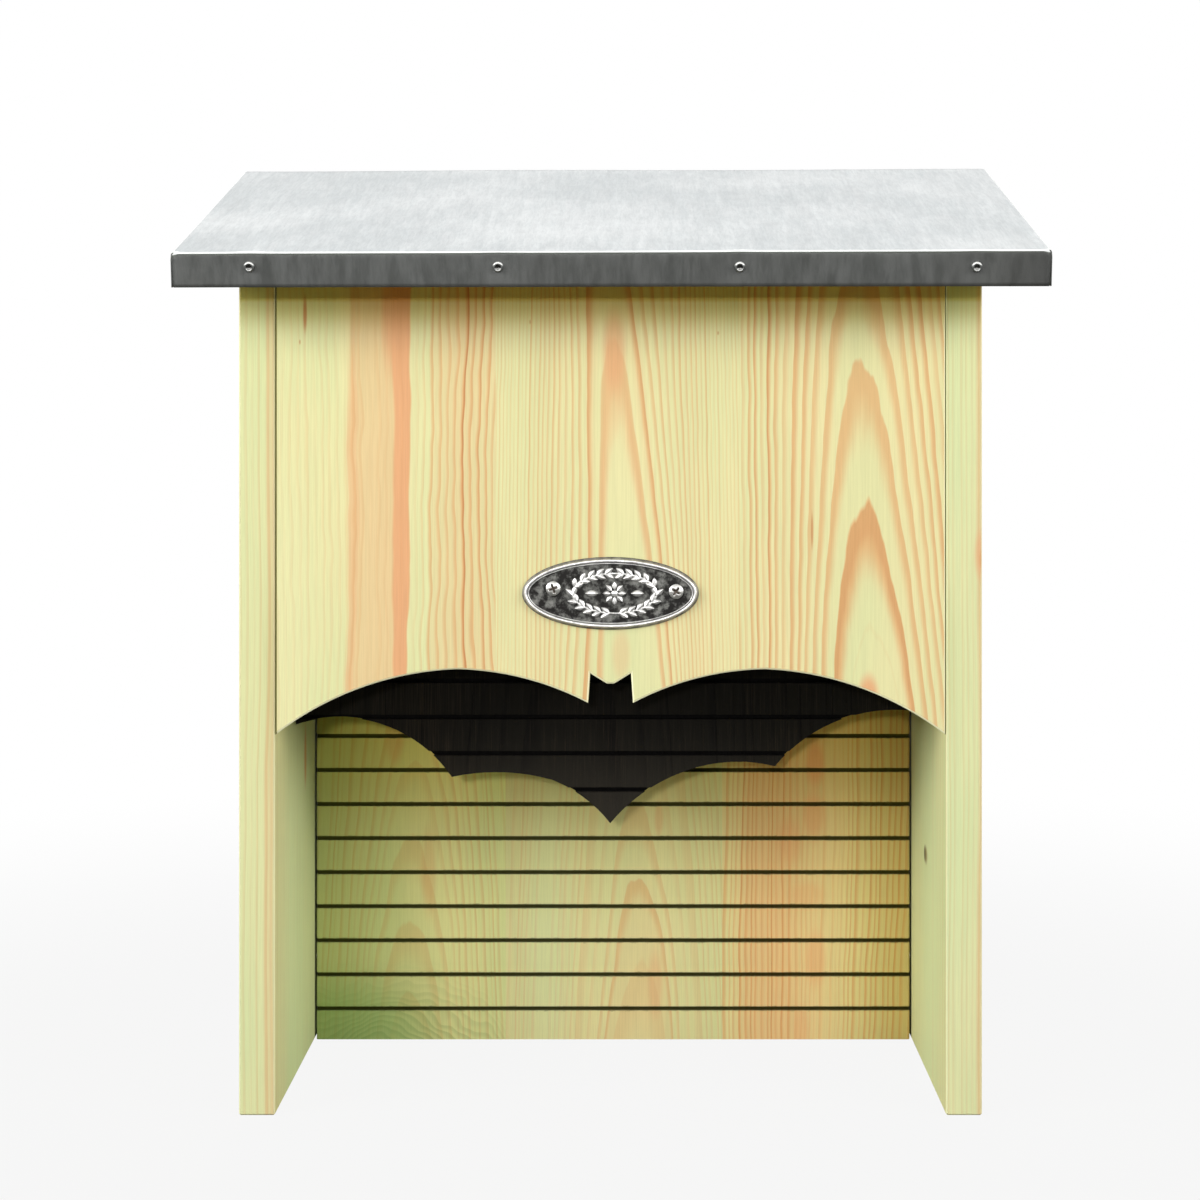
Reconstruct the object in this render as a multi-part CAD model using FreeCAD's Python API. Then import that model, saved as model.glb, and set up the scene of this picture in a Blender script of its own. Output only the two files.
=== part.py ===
import FreeCAD, Part
import math
import os

# Bat box for a wall: two roosting chambers behind a sawn front, under a folded metal roof.
# Millimetres. The origin is the middle of the footprint at the ground, +Z is up, the front faces -Y.

# Outside sizes
box_width = 330.0            # over the two side boards
side_depth = 136.0           # side boards, front edge to back edge
overall_height = 435.5       # to the back edge of the roof
roof_width = 374.0           # over the side flanges of the metal sheet
roof_overhang = 41.0         # roof in front of the front board
roof_slope = math.radians(17.5)

# Boards
board = 16.0                 # planed pine of all upright boards
roof_board_thickness = 14.0
eased_edge = 0.7             # sanded chamfer along the long edges of the boards
joint_play = 0.15            # open joint line between the front board and a side board
loose_play = 1.0             # each end of the back board and of the partition, between the sides
partition_top_gap = 3.0      # air over the partition, under the roof board

# Front board: three staves, lower edge sawn as a flying bat seen from behind
drawn_half_width = 149.0     # half width that both sawn outlines are drawn for
front_seams = (-51.0, 57.0)
wing_corner_height = 169.0
wing_outer_via = (111.0, 189.8)
wing_top = (68.5, 198.1)
wing_inner_via = (38.0, 193.9)
ear_foot = (10.0, 183.1)
ear_tip = (9.1, 196.3)
head_dip = (1.6, 191.7)

# Partition: stained dark, lower edge sawn as a bat's belly and wings, by hand, so its halves differ
partition_setback = 54.0     # front of the box to the front of the partition
belly_left_end = 166.2       # height where the outline meets the left edge
belly_left_outer_via = (-112.0, 167.4)
belly_left_point = (-75.5, 141.6)
belly_left_inner_via = (-52.0, 143.8)
belly_left_inner = (-28.2, 140.3)
belly_left_body_via = (-14.0, 132.6)
belly_tip = (-0.7, 119.9)
belly_right_body_via = (16.0, 135.0)
belly_right_inner = (32.7, 143.6)
belly_right_inner_via = (55.0, 148.6)
belly_right_point = (77.0, 146.6)
belly_right_outer_via = (105.0, 167.3)
belly_right_end = 171.5

# Back board: three staves
back_seams = (-53.6, 54.5)

# Saw kerfs that the bats climb by
groove_pitch = 17.0
groove_width = 2.0
groove_depth = 3.0
back_groove_first = 15.4     # middle of the lowest kerf on the back board
partition_groove_first = 135.7
groove_top_margin = 9.0      # whole wood left above the highest kerf

# Metal sheet
sheet = 0.7
fold_radius = 1.4            # outside of the folds
flange_height = 15.2
sheet_play = 0.25            # between the flanges and the edges of the roof board

# Domed pins through the flanges into the roof board
pin_shank_radius = 1.2
pin_length = 14.0
pin_head_radius = 2.7
pin_head_height = 1.3
pin_hollow_radius = 1.3
pin_hollow_depth = 0.9
pin_drop = 5.1               # roof plane to the pin's axis
front_pin_shares = (-0.821, -0.254, 0.297, 0.837)   # of the roof's half width
side_pin_places = (42.0, 138.0)

# Countersunk wood screws
screw_shank_radius = 1.75
screw_head_radius = 3.6
screw_head_height = 2.8
screw_length = 40.0
screw_recess_radius = 1.5
screw_recess_depth = 1.8
screw_tip = 4.0              # length of the point
screw_fit = 0.05             # radial gap between a screw and its hole
fastener_sides = 12
screw_over_foot = 40.0       # lowest corner of a cross board to its lowest screw
screw_under_roof = 36.0      # underside of the roof board to the highest screws
roof_screw_inset = 26.0      # from the front and back edges of a side board, along the slope

# Oval plate
plate_width = 78.4
plate_height = 32.2
plate_centre_height = 231.9
plate_thickness = 1.4
plate_rim_width = 1.9
plate_rim_height = 0.9
plate_screw_left = (-25.4, 2.2)
plate_screw_right = (29.1, 0.9)
plate_screw_shank_radius = 1.5
plate_screw_length = 12.0
plate_screw_head_radius = 3.2
plate_screw_head_height = 1.7
cross_width = 0.9
cross_reach = 1.9            # from the head's middle to the end of an arm
cross_depth = 0.9

# Steel hanger let into the back board
hanger_width = 34.0
hanger_height = 56.0
hanger_thickness = 2.0
hanger_corner = 6.0
hanger_drop = 40.0           # underside of the roof board to the hanger's middle
keyhole_radius = 4.75
keyhole_slot_width = 4.5
keyhole_slot_rise = 14.0     # round hole's middle to the slot's rounded end
keyhole_below_centre = 7.0
hanger_pocket_play = 0.2
head_pocket_margin = 2.0     # hollow behind the keyhole, beyond its edge
head_pocket_depth = 6.0      # behind the hanger
hanger_screw_spacing = 42.0
hanger_screw_length = 11.0

# Places worked out from the sizes
half_width = box_width / 2
inner_half = half_width - board
total_depth = side_depth + roof_overhang
back_y = total_depth / 2
front_y = back_y - side_depth
roof_front_y = -total_depth / 2
roof_half = roof_width / 2
tan_slope = math.tan(roof_slope)
cos_slope = math.cos(roof_slope)
roof_front_z = overall_height - total_depth * tan_slope
board_top = -sheet
board_underside = -(sheet + roof_board_thickness)
partition_y = front_y + partition_setback
front_pin_places = [share * roof_half for share in front_pin_shares]
panel_half = inner_half - loose_play
back_board_y = back_y - board
long_way = 3 * overall_height

X = FreeCAD.Vector(1, 0, 0)
Y = FreeCAD.Vector(0, 1, 0)
Z = FreeCAD.Vector(0, 0, 1)


def vec(x, y, z):
    return FreeCAD.Vector(x, y, z)


def block(x0, x1, y0, y1, z0, z1):
    """A block between two corners."""
    return Part.makeBox(x1 - x0, y1 - y0, z1 - z0, vec(x0, y0, z0))


def rod(radius, start, direction, length):
    return Part.makeCylinder(radius, length, start, direction)


def roof_under(y):
    """Height of the roof board's underside at a depth y."""
    return roof_front_z + (y - roof_front_y) * tan_slope + board_underside / cos_slope


hanger_centre_height = roof_under(back_y) - hanger_drop


def on_roof(shape):
    """Moves a shape drawn on a level roof, its front edge along X at the origin, to the sloping roof."""
    shape = shape.copy()
    shape.rotate(vec(0, 0, 0), X, math.degrees(roof_slope))
    shape.translate(vec(0, roof_front_y, roof_front_z))
    return shape


def below_roof(shape, gap=0.0):
    """Cuts off what lies over the plane a gap below the roof board."""
    top = board_underside - gap
    return shape.cut(on_roof(block(-long_way, long_way, -long_way, long_way, top, long_way)))


def flush_with_back(shape):
    return shape.cut(block(-long_way, long_way, back_y, long_way, -long_way, long_way))


def ease(shape, chosen, size=eased_edge):
    """Chamfers the edges that the test chooses."""
    edges = [edge for edge in shape.Edges if chosen(edge)]
    return shape.makeChamfer(size, edges)


def runs_along(edge, axis):
    if not isinstance(edge.Curve, Part.Line):
        return False
    return edge.Curve.Direction.cross(axis).Length < 1e-6


def lies_at(edge, axis, place):
    return all(abs(vertex.Point.dot(axis) - place) < 1e-4 for vertex in edge.Vertexes)


def outline_edges(start, steps, y):
    """Edges at a depth y from (x, z) points: a step is an end, or an arc's middle and end."""
    edges = []
    here = start
    for step in steps:
        a = vec(here[0], y, here[1])
        if len(step) == 1:
            here = step[0]
            edges.append(Part.LineSegment(a, vec(here[0], y, here[1])).toShape())
        else:
            via, here = step
            edges.append(Part.Arc(a, vec(via[0], y, via[1]), vec(here[0], y, here[1])).toShape())
    return edges


def sawn_board(half, y0, left_height, arcs, right_height, top_gap=0.0):
    """A board between -half and half whose lower edge is a sawn outline, its top under the roof.

    The outline is drawn for one width and stretched to the board's. Its last arc still lacks its end.
    """
    start = (-half, left_height)
    stretch = half / drawn_half_width
    steps = [[(x * stretch, z) for x, z in step] for step in arcs]
    steps[-1].append((half, right_height))
    steps.append([(half, overall_height)])
    steps.append([(-half, overall_height)])
    steps.append([start])
    wire = Part.Wire(outline_edges(start, steps, y0))
    solid = Part.Face(wire).extrude(vec(0, board, 0))
    return below_roof(solid, top_gap)


def mirrored(point):
    return (-point[0], point[1])


def cut_all(shape, tools):
    for tool in tools:
        shape = shape.cut(tool)
    return shape


def staves(panel, half, seams):
    """Saws a panel at its glue lines into the staves that it was glued up from."""
    limits = [-half - board] + list(seams) + [half + board]
    return [
        panel.common(block(x0, x1, -long_way, long_way, -long_way, long_way))
        for x0, x1 in zip(limits[:-1], limits[1:])
    ]


def grooves(half, y_face, first, top):
    """Level kerfs at a steady pitch, to be cut into a board's front face."""
    count = int((top - groove_top_margin - first) // groove_pitch) + 1
    tools = []
    for i in range(count):
        z = first + i * groove_pitch - groove_width / 2
        tools.append(block(-half, half, y_face - board, y_face + groove_depth, z, z + groove_width))
    return tools


def turned(points, start, direction):
    """A small turned piece or its hole: (radius, distance) points about a line from start.

    It has flat sides, because there are dozens of them. The first and last points lie on the line.
    """
    step = 2 * math.pi / fastener_sides
    rings = [
        [vec(r * math.cos(i * step), r * math.sin(i * step), d) for i in range(fastener_sides)]
        for r, d in points
    ]
    faces = []
    for (r0, _), (r1, _), ring0, ring1 in zip(points[:-1], points[1:], rings[:-1], rings[1:]):
        for i in range(fastener_sides):
            j = (i + 1) % fastener_sides
            corners = [ring0[i], ring0[j]] if r0 > 0 else [ring0[i]]
            corners += [ring1[j], ring1[i]] if r1 > 0 else [ring1[i]]
            faces.append(Part.Face(Part.makePolygon(corners + [corners[0]])))
    solid = Part.makeSolid(Part.makeShell(faces)).removeSplitter()
    if solid.Volume < 0:
        solid.reverse()
    solid.Placement = FreeCAD.Placement(start, FreeCAD.Rotation(Z, direction))
    return solid


def countersunk_screw(start, direction, length):
    """A screw whose flat head starts at start and whose point leads along direction."""
    profile = [
        (0, screw_recess_depth),
        (screw_recess_radius, 0),
        (screw_head_radius, 0),
        (screw_shank_radius, screw_head_height),
        (screw_shank_radius, length - screw_tip),
        (0, length),
    ]
    return turned(profile, start, direction)


def countersunk_hole(start, direction, length):
    """The room for such a screw, wider by the fit all round."""
    wide = screw_shank_radius + screw_fit
    head = screw_head_radius + screw_fit
    profile = [
        (0, 0),
        (head, 0),
        (wide, screw_head_height),
        (wide, length + screw_fit),
        (0, length + screw_fit),
    ]
    return turned(profile, start, direction)


def side_screws(board_y, foot, count):
    """Screws through both side boards into the edges of a cross board, evenly spaced."""
    y = board_y + board / 2
    low = foot + screw_over_foot
    high = roof_under(board_y) - screw_under_roof
    heights = [low + (high - low) * i / (count - 1) for i in range(count)]
    placed = []
    for side in (-1, 1):
        for z in heights:
            placed.append((vec(side * half_width, y, z), vec(-side, 0, 0)))
    return placed


def domed_pin(start, direction, length):
    """A pin whose domed head stands behind start, with a round hollow in its middle."""
    rise = pin_head_height
    profile = [
        (0, pin_hollow_depth - rise),
        (pin_hollow_radius, -rise),
        (pin_head_radius * 0.8, -rise * 0.8),
        (pin_head_radius, 0),
        (pin_shank_radius, 0),
        (pin_shank_radius, length - screw_tip),
        (0, length),
    ]
    return turned(profile, start, direction)


def straight_hole(radius, start, direction, length):
    """The room for a straight shank, wider by the fit all round."""
    wide = radius + screw_fit
    deep = length + screw_fit
    return turned([(0, 0), (wide, 0), (wide, deep), (0, deep)], start, direction)


def group(solids):
    return Part.makeCompound(solids)


# Screws that hold the cross boards between the sides
front_board_screws = side_screws(front_y, wing_corner_height, 2)
partition_screws = side_screws(partition_y, belly_right_end, 2)
back_board_screws = side_screws(back_board_y, 0, 3)
all_side_screws = front_board_screws + partition_screws + back_board_screws
side_screw_holes = [countersunk_hole(at, way, screw_length) for at, way in all_side_screws]

# Screws down through the roof board into the tops of the sides
roof_screw_places = []
for side in (-1, 1):
    for edge_y, inwards in ((front_y, 1), (back_y, -1)):
        along = (edge_y - roof_front_y + inwards * roof_screw_inset) / cos_slope
        roof_screw_places.append(vec(side * (half_width - board / 2), along, board_top))
roof_screws_level = [countersunk_screw(at, -Z, screw_length) for at in roof_screw_places]
roof_screw_holes = [on_roof(countersunk_hole(at, -Z, screw_length)) for at in roof_screw_places]


def side_panel(side):
    """An upright board, sloped at its top, with its long edges and its foot eased."""
    x0, x1 = sorted((side * inner_half, side * half_width))
    shape = below_roof(block(x0, x1, front_y, back_y, 0, overall_height))
    shape = ease(shape, lambda edge: runs_along(edge, Z) or lies_at(edge, Z, 0))
    return cut_all(shape, side_screw_holes + roof_screw_holes)


def front_panel():
    """The glued front board with its bat outline, before it is parted into staves."""
    half = inner_half - joint_play
    arcs = [
        [mirrored(wing_outer_via), mirrored(wing_top)],
        [mirrored(wing_inner_via), mirrored(ear_foot)],
        [mirrored(ear_tip)],
        [mirrored(head_dip)],
        [head_dip],
        [ear_tip],
        [ear_foot],
        [wing_inner_via, wing_top],
        [wing_outer_via],
    ]
    panel = sawn_board(half, front_y, wing_corner_height, arcs, wing_corner_height)
    top = roof_under(front_y) - 1
    panel = ease(panel, lambda edge: lies_at(edge, Y, front_y) and edge.BoundBox.ZMin < top)
    return cut_all(panel, side_screw_holes + plate_screw_holes)


def partition():
    """The inner board with its bat outline and its climbing kerfs."""
    half = panel_half
    arcs = [
        [belly_left_outer_via, belly_left_point],
        [belly_left_inner_via, belly_left_inner],
        [belly_left_body_via, belly_tip],
        [belly_right_body_via, belly_right_inner],
        [belly_right_inner_via, belly_right_point],
        [belly_right_outer_via],
    ]
    shape = sawn_board(half, partition_y, belly_left_end, arcs, belly_right_end, partition_top_gap)
    top = roof_under(partition_y) - partition_top_gap
    shape = cut_all(shape, grooves(half + board, partition_y, partition_groove_first, top))
    return cut_all(shape, side_screw_holes)


def back_panel():
    """The glued back board with its climbing kerfs and the pockets of the hanger."""
    shape = below_roof(block(-panel_half, panel_half, back_board_y, back_y, 0, overall_height))
    shape = ease(shape, lambda edge: runs_along(edge, Z) and edge.BoundBox.YMin < back_board_y + 1)
    top = roof_under(back_board_y)
    shape = cut_all(shape, grooves(panel_half + board, back_board_y, back_groove_first, top))
    return cut_all(shape, side_screw_holes + hanger_pockets())


def roof_board():
    """The board under the sheet, its upper edges eased to clear the folds."""
    half = roof_half - sheet - sheet_play
    front = sheet + sheet_play
    shape = block(-half, half, front, 2 * total_depth, board_underside, board_top)
    shape = ease(shape, lambda edge: lies_at(edge, Z, board_top), fold_radius - sheet + sheet_play)
    shape = flush_with_back(on_roof(shape))
    return cut_all(shape, roof_screw_holes + pin_holes)


def fold_profile(flange):
    """Half section of a folded edge as (out, up) points: the flat starts at out = -fold_radius."""
    r = fold_radius
    inner = r - sheet
    s = math.sqrt(0.5)
    outer_arc = Part.Arc(vec(-r, 0, 0), vec(-r + r * s, 0, -r + r * s), vec(0, 0, -r)).toShape()
    inner_arc = Part.Arc(
        vec(-sheet, 0, -r), vec(-r + inner * s, 0, -r + inner * s), vec(-r, 0, -sheet)
    ).toShape()
    edges = [
        outer_arc,
        Part.LineSegment(vec(0, 0, -r), vec(0, 0, -flange)).toShape(),
        Part.LineSegment(vec(0, 0, -flange), vec(-sheet, 0, -flange)).toShape(),
        Part.LineSegment(vec(-sheet, 0, -flange), vec(-sheet, 0, -r)).toShape(),
        inner_arc,
        Part.LineSegment(vec(-r, 0, -sheet), vec(-r, 0, 0)).toShape(),
    ]
    return Part.Face(Part.Wire(edges))


def roof_sheet():
    """The sheet: a flat field and three flanges with rounded folds, open at the two front corners."""
    r = fold_radius
    length = 2 * total_depth
    field = block(-roof_half + r, roof_half - r, r, length, -sheet, 0)
    right = fold_profile(flange_height).extrude(vec(0, length - r, 0))
    right.translate(vec(roof_half, r, 0))
    left = right.mirror(vec(0, 0, 0), X)
    front = fold_profile(flange_height).extrude(vec(0, roof_width - 2 * r, 0))
    front.rotate(vec(0, 0, 0), Z, -90)
    front.translate(vec(-roof_half + r, 0, 0))
    shape = field.fuse([right, left, front]).removeSplitter()
    return cut_all(flush_with_back(on_roof(shape)), pin_holes)


def pins(places):
    """Pins at level (start, direction) places, moved to the sloping roof."""
    return [on_roof(domed_pin(at, way, pin_length)) for at, way in places]


front_pins = [(vec(x, 0, -pin_drop), Y) for x in front_pin_places]
left_pins = [(vec(-roof_half, y, -pin_drop), X) for y in side_pin_places]
right_pins = [(vec(roof_half, y, -pin_drop), -X) for y in side_pin_places]
pin_holes = [
    on_roof(straight_hole(pin_shank_radius, at, way, pin_length))
    for at, way in front_pins + left_pins + right_pins
]

# The oval plate's screws, from the face of its field into the front board
plate_screws = [
    vec(x, front_y - plate_thickness, plate_centre_height + z)
    for x, z in (plate_screw_left, plate_screw_right)
]
plate_screw_holes = [
    straight_hole(plate_screw_shank_radius, at, Y, plate_screw_length) for at in plate_screws
]


def oval(shrink, y0, y1):
    """An elliptical slab, smaller than the plate by shrink all round."""
    ellipse = Part.Ellipse(vec(0, 0, 0), plate_width / 2 - shrink, plate_height / 2 - shrink)
    slab = Part.Face(Part.Wire(ellipse.toShape())).extrude(vec(0, 0, y1 - y0))
    slab.rotate(vec(0, 0, 0), X, 90)
    slab.translate(vec(0, y1, plate_centre_height))
    return slab


def nameplate():
    """The cast plate: a field inside a raised, eased rim."""
    rim_y = front_y - plate_thickness - plate_rim_height
    shape = oval(0, rim_y, front_y)
    shape = ease(shape, lambda edge: edge.BoundBox.YMax < rim_y + 0.01, plate_rim_height / 2)
    shape = shape.cut(oval(plate_rim_width, rim_y - 1, front_y - plate_thickness))
    return cut_all(shape, plate_screw_holes)


def round_head_screw(start):
    """A plate screw: a domed head with a cross recess, seated on the plate."""
    rise = plate_screw_head_height
    wide = plate_screw_head_radius
    profile = [
        (0, -rise),
        (wide * 0.45, -rise * 0.93),
        (wide * 0.8, -rise * 0.62),
        (wide, 0),
        (plate_screw_shank_radius, 0),
        (plate_screw_shank_radius, plate_screw_length - screw_tip / 2),
        (0, plate_screw_length),
    ]
    screw = turned(profile, start, Y)
    floor_y = start.y - rise + cross_depth
    arm = cross_width / 2
    slot = block(-arm, arm, floor_y - 2 * rise, floor_y, -cross_reach, cross_reach)
    across = slot.copy()
    across.rotate(vec(0, 0, 0), Y, 90)
    cross = slot.fuse(across)
    cross.translate(vec(start.x, 0, start.z))
    return screw.cut(cross)


def hanger_shape(grow, depth):
    """The hanger's outline with round corners, reaching a depth in from the back."""
    x = hanger_width / 2 + grow
    z = hanger_height / 2 + grow
    slab = block(-x, x, back_y - depth, back_y, hanger_centre_height - z, hanger_centre_height + z)
    corners = [edge for edge in slab.Edges if runs_along(edge, Y)]
    return slab.makeFillet(hanger_corner + grow, corners)


def keyhole(grow, y0, y1):
    """A round hole with a narrow slot above it, wider by grow all round."""
    hole_z = hanger_centre_height - keyhole_below_centre
    top_z = hole_z + keyhole_slot_rise
    half = keyhole_slot_width / 2 + grow
    shape = rod(keyhole_radius + grow, vec(0, y0, hole_z), Y, y1 - y0)
    shape = shape.fuse(block(-half, half, y0, y1, hole_z, top_z))
    return shape.fuse(rod(half, vec(0, y0, top_z), Y, y1 - y0)).removeSplitter()


hanger_screw_places = [
    vec(0, back_y, hanger_centre_height + side * hanger_screw_spacing / 2) for side in (-1, 1)
]


def hanger_plate():
    shape = hanger_shape(0, hanger_thickness)
    shape = shape.cut(keyhole(0, back_y - 2 * hanger_thickness, back_y + 1))
    return cut_all(shape, [countersunk_hole(at, -Y, hanger_screw_length) for at in hanger_screw_places])


def hanger_pockets():
    """The shallow bed of the hanger, the hollow behind its keyhole and its screw holes."""
    bed_y = back_y - hanger_thickness
    bed = hanger_shape(hanger_pocket_play, hanger_thickness)
    hollow = keyhole(head_pocket_margin, bed_y - head_pocket_depth, bed_y + 1)
    holes = [countersunk_hole(at, -Y, hanger_screw_length) for at in hanger_screw_places]
    return [bed, hollow] + holes


nodes = {
    "side_panel_left": side_panel(-1),
    "side_panel_right": side_panel(1),
    "inner_partition": partition(),
    "roof_board": roof_board(),
    "roof_sheet": roof_sheet(),
    "sheet_pins_front": group(pins(front_pins)),
    "sheet_pins_left": group(pins(left_pins)),
    "sheet_pins_right": group(pins(right_pins)),
    "front_board_screws": group([countersunk_screw(at, way, screw_length) for at, way in front_board_screws]),
    "partition_screws": group([countersunk_screw(at, way, screw_length) for at, way in partition_screws]),
    "back_board_screws": group([countersunk_screw(at, way, screw_length) for at, way in back_board_screws]),
    "roof_board_screws": group([on_roof(screw) for screw in roof_screws_level]),
    "nameplate": nameplate(),
    "nameplate_screws": group([round_head_screw(at) for at in plate_screws]),
    "hanger_plate": hanger_plate(),
    "hanger_plate_screws": group(
        [countersunk_screw(at, -Y, hanger_screw_length) for at in hanger_screw_places]
    ),
}
for place, stave in zip(("left", "middle", "right"), staves(front_panel(), inner_half, front_seams)):
    nodes["front_stave_" + place] = stave
for place, stave in zip(("left", "middle", "right"), staves(back_panel(), inner_half, back_seams)):
    nodes["back_stave_" + place] = stave

os.makedirs("parts", exist_ok=True)
for name, shape in nodes.items():
    if not shape.isValid():
        raise ValueError(name + " is not a valid shape")
    shape.exportStep(os.path.join("parts", name + ".step"))
    print(name, "solids", len(shape.Solids), "volume", round(shape.Volume, 1))
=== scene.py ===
import math

import bpy
import numpy as np
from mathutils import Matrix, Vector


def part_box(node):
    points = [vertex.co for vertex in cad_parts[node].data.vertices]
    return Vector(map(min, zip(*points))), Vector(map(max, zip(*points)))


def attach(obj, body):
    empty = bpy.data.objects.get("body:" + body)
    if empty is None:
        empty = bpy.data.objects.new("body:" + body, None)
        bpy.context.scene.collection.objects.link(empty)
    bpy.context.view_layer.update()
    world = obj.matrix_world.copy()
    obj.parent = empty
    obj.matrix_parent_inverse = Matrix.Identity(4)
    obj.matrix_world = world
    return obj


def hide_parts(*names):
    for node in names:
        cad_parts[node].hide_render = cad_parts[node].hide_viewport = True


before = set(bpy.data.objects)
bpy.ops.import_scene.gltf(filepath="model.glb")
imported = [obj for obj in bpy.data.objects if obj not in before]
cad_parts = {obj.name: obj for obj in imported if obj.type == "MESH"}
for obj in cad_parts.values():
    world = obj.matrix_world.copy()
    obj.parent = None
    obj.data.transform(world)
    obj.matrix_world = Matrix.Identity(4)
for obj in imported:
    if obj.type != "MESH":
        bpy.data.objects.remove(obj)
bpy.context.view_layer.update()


# Side boards
# Two upright boards of planed pine, pressure-treated, which leaves the wood pale yellow-green between
# orange growth rings. They stand on their end grain, and their long edges are eased with sandpaper.

MM = 0.001
PALE_WOOD = (0.84, 0.80, 0.43, 1)
GREEN_WOOD = (0.76, 0.79, 0.42, 1)
MOSS_WOOD = (0.78, 0.90, 0.52, 1)
# painted shade, olive, for the upper inner faces of the side boards below the front board
OLIVE_PAINTED_SHADE = (0.42, 0.40, 0.15, 1)
SALMON_WOOD = (0.82, 0.44, 0.22, 1)
RING_WOOD = (0.74, 0.36, 0.14, 1)
DEEP_RING_WOOD = (0.58, 0.23, 0.08, 1)
SANDED_AND_HIGHLIGHT_WOOD = (1.0, 0.97, 0.66, 1)
GAP_SHADE = (0.03, 0.032, 0.006, 1)


def wire(socket, value):
    """Feeds a socket from another socket, or sets it to a number, colour or vector."""
    if isinstance(value, bpy.types.NodeSocket):
        socket.id_data.links.new(value, socket)
    else:
        socket.default_value = value


def feed(kind, inputs, **settings):
    """The outputs of a new node, whose inputs take sockets or values, in the tree of those sockets."""
    tree = next(value.id_data for value in inputs.values() if isinstance(value, bpy.types.NodeSocket))
    node = tree.nodes.new("ShaderNode" + kind)
    for setting, value in settings.items():
        setattr(node, setting, value)
    for key, value in inputs.items():
        wire(node.inputs[key], value)
    return node.outputs


def calc(operation, *values):
    """One step of arithmetic with numbers or sockets."""
    return feed("Math", dict(enumerate(values)), operation=operation)[0]


def plus(a, b):
    return calc("ADD", a, b)


def minus(a, b):
    return calc("SUBTRACT", a, b)


def times(a, b):
    return calc("MULTIPLY", a, b)


def over(a, b):
    return calc("DIVIDE", a, b)


def times_plus(a, b, c):
    """a times b, plus c."""
    return calc("MULTIPLY_ADD", a, b, c)


def distance(a, b):
    """How far the place (a, b) lies from (0, 0)."""
    return calc("SQRT", times_plus(a, a, times(b, b)))


def smooth_step(value, low, high, out_low=0.0, out_high=1.0, kind="SMOOTHSTEP"):
    """Goes from out_low, where the value is low, to out_high, where it is high."""
    inputs = {"Value": value, "From Min": low, "From Max": high, "To Min": out_low, "To Max": out_high}
    return feed("MapRange", inputs, interpolation_type=kind)["Result"]


def vector_from(x, y, z):
    return feed("CombineXYZ", {0: x, 1: y, 2: z})[0]


def split(vector):
    """The three parts of a vector or a colour."""
    return tuple(feed("SeparateXYZ", {0: vector}))


def scaled(vector, by):
    """A vector times another one, part by part."""
    return feed("VectorMath", {0: vector, 1: by}, operation="MULTIPLY")[0]


def mix_colours(amount, a, b, kind="MIX"):
    return feed("Mix", {0: amount, 6: a, 7: b}, data_type="RGBA", blend_type=kind)[2]


def noise(place, scale=1.0, detail=2.0, rough=0.5):
    return feed("TexNoise", {"Vector": place, "Scale": scale, "Detail": detail, "Roughness": rough})


def noise_along(place, detail):
    """A noise along a line, at a place that is a number."""
    return feed("TexNoise", {"W": place, "Scale": 1.0, "Detail": detail}, noise_dimensions="1D")[0]


def facing(tree, kind="Normal"):
    """The three parts of the way that the surface faces."""
    return split(tree.nodes.new("ShaderNodeNewGeometry").outputs[kind])


def place_in_mm(tree):
    """The point's place in the object's frame, in millimetres."""
    return scaled(tree.nodes.new("ShaderNodeTexCoord").outputs["Object"], (1 / MM, 1 / MM, 1 / MM))


def new_group(name, inputs, outputs):
    """An empty node group: inputs maps labels to numbers, or to None for a vector; outputs are labels."""
    group = bpy.data.node_groups.new(name, "ShaderNodeTree")
    for label, default in inputs.items():
        kind = "NodeSocketVector" if default is None else "NodeSocketFloat"
        socket = group.interface.new_socket(label, in_out="INPUT", socket_type=kind)
        if default is not None:
            socket.default_value = default
    for label in outputs:
        group.interface.new_socket(label, in_out="OUTPUT", socket_type="NodeSocketFloat")
    return group, group.nodes.new("NodeGroupInput").outputs, group.nodes.new("NodeGroupOutput").inputs


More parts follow.
